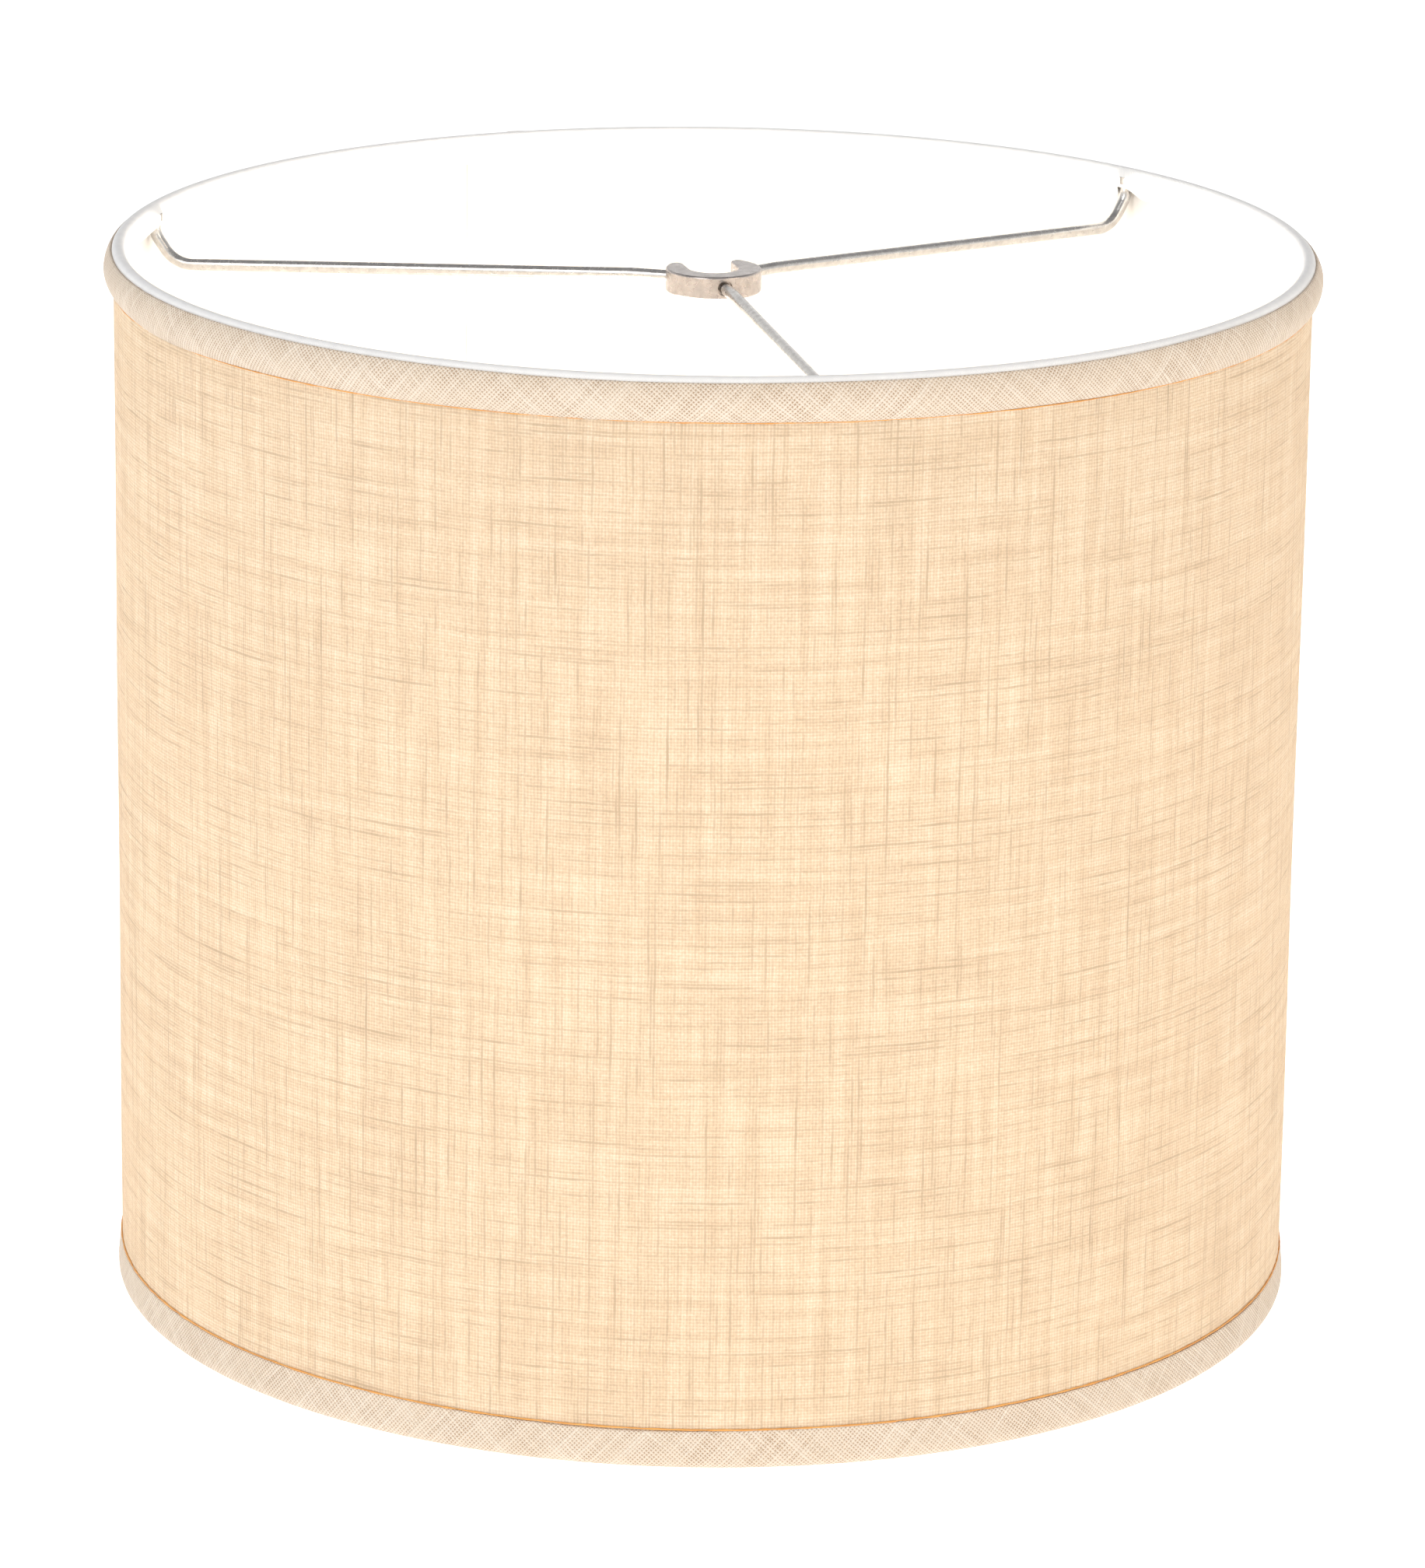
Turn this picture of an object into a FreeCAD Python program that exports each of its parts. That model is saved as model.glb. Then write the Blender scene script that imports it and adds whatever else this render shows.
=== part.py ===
"""Drum lamp shade: linen over a rigid liner, two wire rings and a slotted spider.

Millimetres, +Z up. The origin is on the shade's axis, at the level of its lower edge.
Sizes holds the driving dimensions; Places holds the levels and radii worked out from them.
"""
import FreeCAD, Part
import math
import os
import Sketcher

SIZES = {
    "height": 292.0,              # lowest point of the bottom trim to the top of the top tape
    "cover_radius": 162.3,        # outside of the linen drum
    "linen_thickness": 0.5,
    "liner_thickness": 0.5,
    "arm_wire_diameter": 3.2,
    "ring_wire_diameter": 2.8,
    "ring_inset": 1.4,            # outside of the linen to the centre of the ring's wire
    "tape_thickness": 0.5,        # white tape with its glue
    "tape_drop": 6.8,             # ring centre to the lower end of the tape, inside the drum
    "tape_hem": 1.0,              # flat part of the tape glued to the liner
    "ring_step": 1.0,             # height over which tape and trim step from the ring to the drum
    "trim_thickness": 0.6,
    "trim_height": 10.4,          # top trim, from its turned upper edge down
    "trim_edge": 0.4,             # thickness of a trim's edge on the linen
    "trim_bulge": 2.2,            # how far the top trim stands out beyond its upper edge
    "trim_rise": 0.6,             # top trim's upper edge above the ring's centre
    "hem_height": 10.8,           # bottom trim, from the lowest point up
    "hem_return": 3.5,            # bottom trim inside the drum, above the ring's centre
    "seam_lap": 10.0,             # overlap of the sheet's two ends
    "seam_bearing": 116.5,        # where the sheet's ends meet, counted from +X
    "lap_clearance": 0.3,         # lap to the trims above and below it
    "hub_diameter": 26.0,
    "hub_thickness": 6.3,
    "hub_drop": 7.1,              # top of the shade to the top of the hub
    "hub_bore": 13.4,
    "hub_edge": 0.6,              # rounding of the hub's rims
    "cut_reach": 1.0,             # how far a cut runs on past the face it opens
    "prong_edge": 2.0,            # rounding of the two prongs beside the slot
    "slot_bearing": 105.0,
    "arm_hole_clearance": 0.5,    # all round the wire at the mouth of its hole
    "arm_hole_mouth": 2.0,        # depth of the wide mouth
    "arm_recess": 1.6,            # the wire's end stops short of the bore by this much
    "arm_level_run": 10.0,        # straight out of the hub before the wire dips
    "arm_dip": 6.0,               # hub's middle to the lowest part of the arm
    "arm_setback": 7.6,           # ring centre to the arm's lower bend
    "weld_gap": 0.05,             # weld bead round the arm's upright foot to the liner
    "arm_foot_height": 4.6,       # length of the upright foot under the ring
    "arm_bend": 9.0,              # radius of the lower bend
    "arm_foot_bend": 6.0,         # radius of the bend below the foot
    "weld_size": 0.45,            # thickness of the weld bead round the foot
    "weld_height": 2.0,
    "tape_clearance": 0.2,        # tape to weld bead
    "front_bearing": -75.5,
    "left_bearing": 166.0,
    "right_bearing": 42.5,
}

PLACES = {
    "arm_radius": "Sizes.arm_wire_diameter / 2",
    "wire_radius": "Sizes.ring_wire_diameter / 2",
    "wrap_radius": "wire_radius + Sizes.tape_thickness",
    "roll_radius": "wrap_radius + Sizes.trim_thickness",
    "ring_radius": "Sizes.cover_radius - Sizes.ring_inset",
    "top_level": "Sizes.height - wrap_radius",
    "bottom_level": "roll_radius",
    "liner_outside": "Sizes.cover_radius - Sizes.linen_thickness",
    "liner_inside": "liner_outside - Sizes.liner_thickness",
    "panel_top": "top_level - wire_radius",
    "panel_bottom": "bottom_level + wire_radius",
    "ring_outside": "ring_radius + wire_radius",
    "ring_inside": "ring_radius - wire_radius",
    "wrap_outside": "ring_radius + wrap_radius",
    "wrap_inside": "ring_radius - wrap_radius",
    "tape_inside": "liner_inside - Sizes.tape_thickness",
    "top_tape_start": "panel_top",
    "top_tape_turn": "top_level - wire_radius - Sizes.ring_step",
    "top_tape_end": "top_level - Sizes.tape_drop",
    "top_tape_hem": "top_tape_end + Sizes.tape_hem",
    "low_tape_start": "panel_bottom",
    "low_tape_turn": "bottom_level + wire_radius + Sizes.ring_step",
    "low_tape_end": "bottom_level + Sizes.tape_drop",
    "low_tape_hem": "low_tape_end - Sizes.tape_hem",
    "trim_top": "top_level + Sizes.trim_rise",
    "trim_bottom": "trim_top - Sizes.trim_height",
    "trim_step": "panel_top - Sizes.tape_thickness",
    "trim_shoulder": "trim_step - Sizes.ring_step",
    "trim_foot_radius": "Sizes.cover_radius + Sizes.trim_edge",
    "trim_chord": "sqrt((wrap_outside - trim_foot_radius) ^ 2 + Sizes.trim_height ^ 2)",
    "trim_curve": "(trim_chord ^ 2 / 4 + Sizes.trim_bulge ^ 2) / (2 * Sizes.trim_bulge)",
    "liner_lap_inside": "liner_inside - Sizes.liner_thickness",
    "cover_lap_outside": "Sizes.cover_radius + Sizes.linen_thickness",
    "lap_top": "trim_bottom - Sizes.lap_clearance",
    "lap_bottom": "Sizes.hem_height + Sizes.lap_clearance",
    "roll_outside": "ring_radius + roll_radius",
    "roll_inside": "ring_radius - roll_radius",
    "hem_shoulder": "panel_bottom + Sizes.tape_thickness",
    "hem_step": "hem_shoulder + Sizes.ring_step",
    "hem_return_level": "bottom_level + Sizes.hem_return",
    "hub_radius": "Sizes.hub_diameter / 2",
    "bore_radius": "Sizes.hub_bore / 2",
    "hub_top": "Sizes.height - Sizes.hub_drop",
    "hub_bottom": "hub_top - Sizes.hub_thickness",
    "hub_middle": "hub_top - Sizes.hub_thickness / 2",
    "arm_start": "bore_radius + Sizes.arm_recess",
    "arm_level_end": "hub_radius + Sizes.arm_level_run",
    "arm_low": "hub_middle - Sizes.arm_dip",
    "arm_corner": "ring_radius - Sizes.arm_setback",
    "weld_radius": "arm_radius + Sizes.weld_size",
    "arm_foot": "liner_inside - Sizes.weld_gap - weld_radius",
    "arm_foot_low": "panel_top - Sizes.arm_foot_height",
    "mouth_start": "hub_radius - Sizes.arm_hole_mouth",
    "mouth_end": "hub_radius + Sizes.cut_reach",
    "hole_start": "bore_radius / 2",
    "hole_top": "hub_middle + arm_radius",
    "mouth_top": "hole_top + Sizes.arm_hole_clearance",
    "slot_end": "hub_radius + Sizes.cut_reach",
    "weld_low": "panel_top - Sizes.weld_height / 2",
    "weld_high": "panel_top + Sizes.weld_height / 2",
    "weld_outside": "arm_foot + weld_radius",
    "foot_outside": "arm_foot + arm_radius",
    "notch_radius": "weld_radius + Sizes.tape_clearance",
    "notch_top": "weld_high + Sizes.tape_clearance",
    "notch_depth": "notch_top - top_tape_end + Sizes.cut_reach",
    "lap_angle": "Sizes.seam_lap / Sizes.cover_radius * 180 / pi",
}

BEARINGS = ("front", "left", "right")

doc = FreeCAD.newDocument("lamp_shade")


def make_sheet(name, table, formula):
    """A spreadsheet with one alias per row."""
    sheet = doc.addObject("Spreadsheet::Sheet", name)
    for row, (alias, value) in enumerate(table.items(), start=1):
        sheet.set("A%d" % row, alias)
        sheet.set("B%d" % row, ("=" + value) if formula else str(value))
        sheet.setAlias("B%d" % row, alias)
    doc.recompute()
    return sheet


sizes = make_sheet("Sizes", SIZES, formula=False)
places = make_sheet("Places", PLACES, formula=True)


def size(name):
    """Present value of a named size or place."""
    sheet = sizes if name in SIZES else places
    return float(sheet.get(name))


def cell(name):
    """The same name as an expression."""
    return ("Sizes." if name in SIZES else "Places.") + name


def new_body(label):
    body = doc.addObject("PartDesign::Body", label)
    body.Label = label
    return body


def origin_part(body, role):
    """One of the body's own origin planes or axes."""
    return [part for part in body.Origin.OriginFeatures if part.Role == role][0]


def new_sketch(body, role, name):
    """A sketch on one of the body's own origin planes."""
    sketch = body.newObject("Sketcher::SketchObject", name)
    sketch.AttachmentSupport = [(origin_part(body, role), "")]
    sketch.MapMode = "FlatFace"
    return sketch


def turn_sketch(sketch, axis, angle):
    """Turn a sketch about an axis of its own plane by an angle in degrees."""
    sketch.AttachmentOffset = FreeCAD.Placement(FreeCAD.Vector(), FreeCAD.Rotation(axis, 1))
    sketch.setExpression("AttachmentOffset.Rotation.Angle", angle)


def bind(sketch, kind, *arguments):
    """A dimension held by a named size or place, the last argument."""
    name = arguments[-1]
    row = sketch.addConstraint(Sketcher.Constraint(kind, *arguments[:-1], size(name)))
    sketch.setExpression("Constraints[%d]" % row, cell(name))


def pin_point(sketch, edge, end, radius_name, level_name):
    bind(sketch, "DistanceX", -1, 1, edge, end, radius_name)
    bind(sketch, "DistanceY", -1, 1, edge, end, level_name)


def round_about(centre, radius):
    return Part.Circle(centre, FreeCAD.Vector(0, 0, 1), radius)


def arc_between(first, last, centre):
    """The arc that runs anticlockwise from one point to the other."""
    start, end = [math.atan2(point.y - centre.y, point.x - centre.x) for point in (first, last)]
    if end <= start:
        end += 2 * math.pi
    return Part.ArcOfCircle(round_about(centre, (first - centre).Length), start, end)


def draw_outline(sketch, corners, arcs=None):
    """A closed outline through named corners.

    arcs maps an edge's number to (centre, anticlockwise, dimension, name). The dimension is Radius,
    or Level to hold the height of the arc's centre, and name is the value that it takes.
    """
    arcs = arcs or {}
    points = [FreeCAD.Vector(size(x), size(y), 0) for x, y in corners]
    count = len(points)
    ends = []
    for edge in range(count):
        start, end = points[edge], points[(edge + 1) % count]
        centre, anticlockwise = arcs[edge][:2] if edge in arcs else (None, True)
        if centre is None:
            sketch.addGeometry(Part.LineSegment(start, end))
        elif anticlockwise:
            sketch.addGeometry(arc_between(start, end, centre))
        else:
            sketch.addGeometry(arc_between(end, start, centre))
        ends.append((1, 2) if anticlockwise else (2, 1))
    for edge in range(count):
        after = (edge + 1) % count
        leave, meet = ends[edge][1], ends[after][0]
        sketch.addConstraint(Sketcher.Constraint("Coincident", edge, leave, after, meet))
        pin_point(sketch, edge, ends[edge][0], *corners[edge])
    for edge, (_, _, dimension, name) in arcs.items():
        if dimension == "Radius":
            bind(sketch, "Radius", edge, name)
        else:
            bind(sketch, "DistanceY", -1, 1, edge, 3, name)


def revolve(body, sketch, name, angle=None):
    """Spin a sketch about the shade's axis."""
    feature = body.newObject("PartDesign::Revolution", name)
    feature.Profile = sketch
    feature.ReferenceAxis = (origin_part(body, "Z_Axis"), [""])
    feature.Angle = 360
    if angle:
        feature.setExpression("Angle", angle)
    return feature


def revolve_in_eighths(body, sketch, name):
    """Spin a sketch an eighth of the way round, then repeat it, so that all sides are alike."""
    eighth = revolve(body, sketch, name)
    eighth.Angle = 45
    eighth.Refine = False
    whole = body.newObject("PartDesign::PolarPattern", name + "_whole")
    whole.Originals = [eighth]
    whole.Axis = (origin_part(body, "Z_Axis"), [""])
    whole.Angle = 360
    whole.Occurrences = 8
    whole.Refine = False
    body.Tip = whole
    return whole


def spun_body(label, corners, arcs=None, spin=revolve):
    body = new_body(label)
    sketch = new_sketch(body, "XZ_Plane", label + "_section")
    draw_outline(sketch, corners, arcs)
    spin(body, sketch, label + "_spin")
    return body


def draw_wire(sketch, level_name):
    """The cut end of a ring's wire."""
    centre = FreeCAD.Vector(size("ring_radius"), size(level_name), 0)
    sketch.addGeometry(round_about(centre, size("wire_radius")))
    pin_point(sketch, 0, 3, "ring_radius", level_name)
    bind(sketch, "Radius", 0, "wire_radius")


def wire_ring(label, level_name):
    """A ring of round wire at one end of the drum."""
    body = new_body(label)
    sketch = new_sketch(body, "XZ_Plane", label + "_section")
    draw_wire(sketch, level_name)
    revolve(body, sketch, label + "_spin")
    return body


def drum_sheet(label, inside, outside, lap_inside, lap_outside):
    """A sheet rolled into a drum, with the lap where its ends meet."""
    body = spun_body(label, [(inside, "panel_bottom"), (outside, "panel_bottom"),
                             (outside, "panel_top"), (inside, "panel_top")])
    sketch = new_sketch(body, "XZ_Plane", label + "_lap_section")
    turn_sketch(sketch, FreeCAD.Vector(0, 1, 0), "Sizes.seam_bearing - Places.lap_angle")
    draw_outline(sketch, [(lap_inside, "lap_bottom"), (lap_outside, "lap_bottom"),
                          (lap_outside, "lap_top"), (lap_inside, "lap_top")])
    revolve(body, sketch, label + "_lap", "Places.lap_angle")
    return body


def lining_tape(label, level, start, turn, end, hem, over):
    """White tape wrapped round a ring and glued to the inside of the liner.

    over is true at the top, where it goes over the ring, and false at the bottom.
    """
    wire = FreeCAD.Vector(size("ring_radius"), size(level), 0)
    corners = [("wrap_outside", start), ("wrap_outside", level),
               ("wrap_inside", level), ("wrap_inside", turn),
               ("tape_inside", hem), ("tape_inside", end),
               ("liner_inside", end), ("liner_inside", hem),
               ("ring_inside", turn), ("ring_inside", level),
               ("ring_outside", level), ("ring_outside", start)]
    arcs = {1: (wire, over, "Level", level), 9: (wire, not over, "Level", level)}
    return spun_body(label, corners, arcs, revolve_in_eighths)


def cut_tape_notches(body):
    """Room in the top tape for the arms' feet and their welds."""
    for bearing in BEARINGS:
        sketch = new_sketch(body, "XY_Plane", "notch_" + bearing)
        turn_sketch(sketch, FreeCAD.Vector(0, 0, 1), cell(bearing + "_bearing"))
        sketch.setExpression("AttachmentOffset.Base.z", "Places.notch_top")
        centre = FreeCAD.Vector(size("arm_foot"), 0, 0)
        sketch.addGeometry(round_about(centre, size("notch_radius")))
        sketch.addConstraint(Sketcher.Constraint("PointOnObject", 0, 3, -1))
        bind(sketch, "DistanceX", -1, 1, 0, 3, "arm_foot")
        bind(sketch, "Radius", 0, "notch_radius")
        pocket = body.newObject("PartDesign::Pocket", "notch_cut_" + bearing)
        pocket.Profile = sketch
        pocket.Type = 0
        pocket.setExpression("Length", "Places.notch_depth")
        pocket.Refine = False
    return body


def top_trim():
    """Folded strip of bias linen standing round the outside of the top ring."""
    corners = [("trim_foot_radius", "trim_bottom"), ("wrap_outside", "trim_top"),
               ("wrap_outside", "trim_step"), ("cover_radius", "trim_shoulder"),
               ("cover_radius", "trim_bottom")]
    foot = FreeCAD.Vector(size("trim_foot_radius"), size("trim_bottom"), 0)
    head = FreeCAD.Vector(size("wrap_outside"), size("trim_top"), 0)
    across = (head - foot).normalize()
    inward = FreeCAD.Vector(-across.y, across.x, 0)
    centre = (foot + head) * 0.5 + inward * (size("trim_curve") - size("trim_bulge"))
    return spun_body("top_bias_trim", corners, {0: (centre, True, "Radius", "trim_curve")})


def bottom_trim():
    """Strip of bias linen glued to the drum and wrapped under the bottom ring."""
    wire = FreeCAD.Vector(size("ring_radius"), size("bottom_level"), 0)
    corners = [("cover_radius", "hem_height"), ("trim_foot_radius", "hem_height"),
               ("roll_outside", "hem_shoulder"), ("roll_outside", "bottom_level"),
               ("roll_inside", "bottom_level"), ("roll_inside", "hem_return_level"),
               ("wrap_inside", "hem_return_level"), ("wrap_inside", "bottom_level"),
               ("wrap_outside", "bottom_level"), ("wrap_outside", "hem_shoulder"),
               ("cover_radius", "hem_step")]
    arcs = {3: (wire, False, "Level", "bottom_level"), 7: (wire, True, "Level", "bottom_level")}
    return spun_body("bottom_bias_trim", corners, arcs, revolve_in_eighths)


def hub_hole(body, bearing):
    """A hole in the hub's edge, as wide as the wire, with a wider mouth."""
    sketch = new_sketch(body, "XZ_Plane", "hole_" + bearing)
    turn_sketch(sketch, FreeCAD.Vector(0, 1, 0), cell(bearing + "_bearing"))
    draw_outline(sketch, [("hole_start", "hub_middle"), ("mouth_end", "hub_middle"),
                          ("mouth_end", "mouth_top"), ("mouth_start", "mouth_top"),
                          ("mouth_start", "hole_top"), ("hole_start", "hole_top")])
    groove = body.newObject("PartDesign::Groove", "hole_cut_" + bearing)
    groove.Profile = sketch
    groove.ReferenceAxis = (sketch, ["Edge1"])
    groove.Angle = 360


def outer_corners(shape):
    """Names of the upright edges where the slot meets the hub's rim."""
    names = []
    for number, edge in enumerate(shape.Edges, start=1):
        ends = [vertex.Point for vertex in edge.Vertexes]
        if len(ends) < 2:
            continue
        upright = abs(ends[0].x - ends[1].x) + abs(ends[0].y - ends[1].y) < 0.001
        reach = math.hypot(ends[0].x, ends[0].y)
        if upright and abs(reach - size("hub_radius")) < 0.001:
            names.append("Edge%d" % number)
    return names


def rim_edges(shape):
    """Names of the edges round the hub's top and bottom faces."""
    names = []
    for number, edge in enumerate(shape.Edges, start=1):
        level = edge.BoundBox.Center.z
        flat = edge.BoundBox.ZLength < 0.001
        at_face = min(abs(level - size("hub_top")), abs(level - size("hub_bottom"))) < 0.001
        if flat and at_face:
            names.append("Edge%d" % number)
    return names


def spider_hub():
    body = new_body("spider_hub")
    disc = new_sketch(body, "XY_Plane", "hub_disc")
    disc.setExpression("AttachmentOffset.Base.z", "Places.hub_bottom")
    disc.addGeometry(round_about(FreeCAD.Vector(), size("hub_radius")))
    disc.addConstraint(Sketcher.Constraint("Coincident", 0, 3, -1, 1))
    bind(disc, "Radius", 0, "hub_radius")
    pad = body.newObject("PartDesign::Pad", "hub_pad")
    pad.Profile = disc
    pad.setExpression("Length", "Sizes.hub_thickness")

    slot = new_sketch(body, "XY_Plane", "hub_slot")
    turn_sketch(slot, FreeCAD.Vector(0, 0, 1), "Sizes.slot_bearing")
    slot.setExpression("AttachmentOffset.Base.z", "Places.hub_top")
    radius, reach = size("bore_radius"), size("slot_end")
    right, left = FreeCAD.Vector(0, -radius, 0), FreeCAD.Vector(0, radius, 0)
    out = FreeCAD.Vector(reach, 0, 0)
    slot.addGeometry(arc_between(left, right, FreeCAD.Vector()))
    slot.addGeometry(Part.LineSegment(right, right + out))
    slot.addGeometry(Part.LineSegment(right + out, left + out))
    slot.addGeometry(Part.LineSegment(left + out, left))
    slot.addConstraint(Sketcher.Constraint("Coincident", 0, 3, -1, 1))
    slot.addConstraint(Sketcher.Constraint("PointOnObject", 0, 1, -2))
    slot.addConstraint(Sketcher.Constraint("PointOnObject", 0, 2, -2))
    for first, start, second, end in ((0, 2, 1, 1), (1, 2, 2, 1), (2, 2, 3, 1), (3, 2, 0, 1)):
        slot.addConstraint(Sketcher.Constraint("Coincident", first, start, second, end))
    slot.addConstraint(Sketcher.Constraint("Horizontal", 1))
    slot.addConstraint(Sketcher.Constraint("Vertical", 2))
    slot.addConstraint(Sketcher.Constraint("Horizontal", 3))
    bind(slot, "Radius", 0, "bore_radius")
    bind(slot, "DistanceX", -1, 1, 1, 2, "slot_end")
    pocket = body.newObject("PartDesign::Pocket", "hub_slot_cut")
    pocket.Profile = slot
    pocket.Type = 1

    doc.recompute()
    prongs = body.newObject("PartDesign::Fillet", "prong_rounding")
    prongs.Base = (pocket, outer_corners(pocket.Shape))
    prongs.setExpression("Radius", "Sizes.prong_edge")
    doc.recompute()
    rims = body.newObject("PartDesign::Fillet", "rim_rounding")
    rims.Base = (prongs, rim_edges(prongs.Shape))
    rims.setExpression("Radius", "Sizes.hub_edge")
    for bearing in BEARINGS:
        hub_hole(body, bearing)
    return body


def rounded_corner(before, corner, after, radius):
    """Where an arc of this radius touches the two runs, and its centre."""
    back, ahead = (before - corner).normalize(), (after - corner).normalize()
    half = back.getAngle(ahead) / 2
    reach = radius / math.tan(half)
    centre = corner + (back + ahead).normalize() * (radius / math.sin(half))
    return corner + back * reach, corner + ahead * reach, centre


def arm_path(body, name):
    """The wire's centre line in its own upright plane: level, dip, bend, foot."""
    sketch = new_sketch(body, "XZ_Plane", name)
    corners = [("arm_start", "hub_middle"), ("arm_level_end", "hub_middle"),
               ("arm_corner", "arm_low"), ("arm_foot", "arm_foot_low"), ("arm_foot", "panel_top")]
    start, level_end, corner, knee, top = [FreeCAD.Vector(size(x), size(y), 0) for x, y in corners]
    bend_in, bend_out, bend_centre = rounded_corner(level_end, corner, knee, size("arm_bend"))
    knee_in, knee_out, knee_centre = rounded_corner(corner, knee, top, size("arm_foot_bend"))

    level, dip, bend, rise, turn, foot = range(6)
    sketch.addGeometry(Part.LineSegment(start, level_end))
    sketch.addGeometry(Part.LineSegment(level_end, bend_in))
    sketch.addGeometry(arc_between(bend_in, bend_out, bend_centre))
    sketch.addGeometry(Part.LineSegment(bend_out, knee_in))
    sketch.addGeometry(arc_between(knee_in, knee_out, knee_centre))
    sketch.addGeometry(Part.LineSegment(knee_out, top))
    marks = [sketch.addGeometry(Part.Point(point), True) for point in (corner, knee)]

    pin_point(sketch, level, 1, *corners[0])
    pin_point(sketch, level, 2, *corners[1])
    sketch.addConstraint(Sketcher.Constraint("Coincident", level, 2, dip, 1))
    pin_point(sketch, marks[0], 1, *corners[2])
    pin_point(sketch, marks[1], 1, *corners[3])
    pin_point(sketch, foot, 2, *corners[4])
    for first, second in ((dip, bend), (bend, rise), (rise, turn), (turn, foot)):
        sketch.addConstraint(Sketcher.Constraint("Tangent", first, 2, second, 1))
    for mark, edge in ((0, dip), (0, rise), (1, rise), (1, foot)):
        sketch.addConstraint(Sketcher.Constraint("PointOnObject", marks[mark], 1, edge))
    bind(sketch, "Radius", bend, "arm_bend")
    bind(sketch, "Radius", turn, "arm_foot_bend")
    return sketch


def spider_arm(bearing):
    """One bent wire from the hub to the underside of the top ring."""
    label = "spider_arm_" + bearing
    body = new_body(label)
    path = arm_path(body, label + "_path")
    section = new_sketch(body, "YZ_Plane", label + "_section")
    section.setExpression("AttachmentOffset.Base.z", "Places.arm_start")
    centre = FreeCAD.Vector(0, size("hub_middle"), 0)
    section.addGeometry(round_about(centre, size("arm_radius")))
    section.addConstraint(Sketcher.Constraint("PointOnObject", 0, 3, -2))
    bind(section, "DistanceY", -1, 1, 0, 3, "hub_middle")
    bind(section, "Radius", 0, "arm_radius")
    pipe = body.newObject("PartDesign::AdditivePipe", label + "_wire")
    pipe.Profile = section
    pipe.Spine = (path, ["Edge%d" % number for number in range(1, 7)])
    pipe.Transition = "Right corner"
    set_bearing(body, bearing)
    return body


def set_bearing(body, bearing):
    """Turn a body about the shade's axis."""
    body.Placement = FreeCAD.Placement(FreeCAD.Vector(), FreeCAD.Rotation(FreeCAD.Vector(0, 0, 1), 1))
    body.setExpression("Placement.Rotation.Angle", cell(bearing + "_bearing"))


def weld_bead(bearing):
    """Weld metal round an arm's foot, filling in under the ring."""
    body = new_body("weld_" + bearing)
    sketch = new_sketch(body, "XZ_Plane", "weld_section_" + bearing)
    draw_outline(sketch, [("arm_foot", "panel_top"), ("foot_outside", "panel_top"),
                          ("foot_outside", "weld_low"), ("weld_outside", "weld_low"),
                          ("weld_outside", "weld_high"), ("arm_foot", "weld_high")])
    bead = body.newObject("PartDesign::Revolution", "weld_spin_" + bearing)
    bead.Profile = sketch
    bead.ReferenceAxis = (sketch, ["Edge6"])
    bead.Angle = 360
    ring = new_sketch(body, "XZ_Plane", "weld_ring_" + bearing)
    draw_wire(ring, "top_level")
    groove = body.newObject("PartDesign::Groove", "weld_ring_cut_" + bearing)
    groove.Profile = ring
    groove.ReferenceAxis = (origin_part(body, "Z_Axis"), [""])
    groove.Angle = 360
    set_bearing(body, bearing)
    return body


def weld_beads():
    group = doc.addObject("Part::Compound", "arm_weld_beads")
    group.Label = "arm_weld_beads"
    group.Links = [weld_bead(bearing) for bearing in BEARINGS]
    return group


def write_parts(nodes):
    """Check every object and write one STEP file per node."""
    doc.recompute()
    for item in doc.Objects:
        if "Invalid" in item.State or "Error" in item.State:
            raise RuntimeError("%s: %s" % (item.Name, item.State))
    os.makedirs("parts", exist_ok=True)
    for node in nodes:
        shape = node.Shape
        if shape.isNull() or not shape.isValid():
            raise RuntimeError("%s has no valid shape" % node.Label)
        shape.exportStep("parts/%s.step" % node.Label)
        box = shape.BoundBox
        print("%-20s %d solid(s) %10.1f mm3  x %.1f..%.1f  y %.1f..%.1f  z %.1f..%.1f" % (
            node.Label, len(shape.Solids), shape.Volume,
            box.XMin, box.XMax, box.YMin, box.YMax, box.ZMin, box.ZMax))


nodes = [
    wire_ring("top_ring", "top_level"),
    wire_ring("bottom_ring", "bottom_level"),
    spider_hub(),
    *[spider_arm(bearing) for bearing in BEARINGS],
    weld_beads(),
    drum_sheet("styrene_liner", "liner_inside", "liner_outside", "liner_lap_inside", "liner_inside"),
    drum_sheet("linen_cover", "liner_outside", "cover_radius", "cover_radius", "cover_lap_outside"),
    cut_tape_notches(lining_tape("top_lining_tape", "top_level", "top_tape_start",
                                 "top_tape_turn", "top_tape_end", "top_tape_hem", over=True)),
    lining_tape("bottom_lining_tape", "bottom_level", "low_tape_start", "low_tape_turn",
                "low_tape_end", "low_tape_hem", over=False),
    top_trim(),
    bottom_trim(),
]
write_parts(nodes)
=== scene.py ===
"""Drum lamp shade: natural linen over a white liner, taped rings, bias trims and a wire spider.

Metres, +Z up. The axis of the drum is the Z axis, and the shade stands on the level 0.
"""
import bmesh
import bpy
import math
from mathutils import Matrix, Vector, noise


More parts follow.
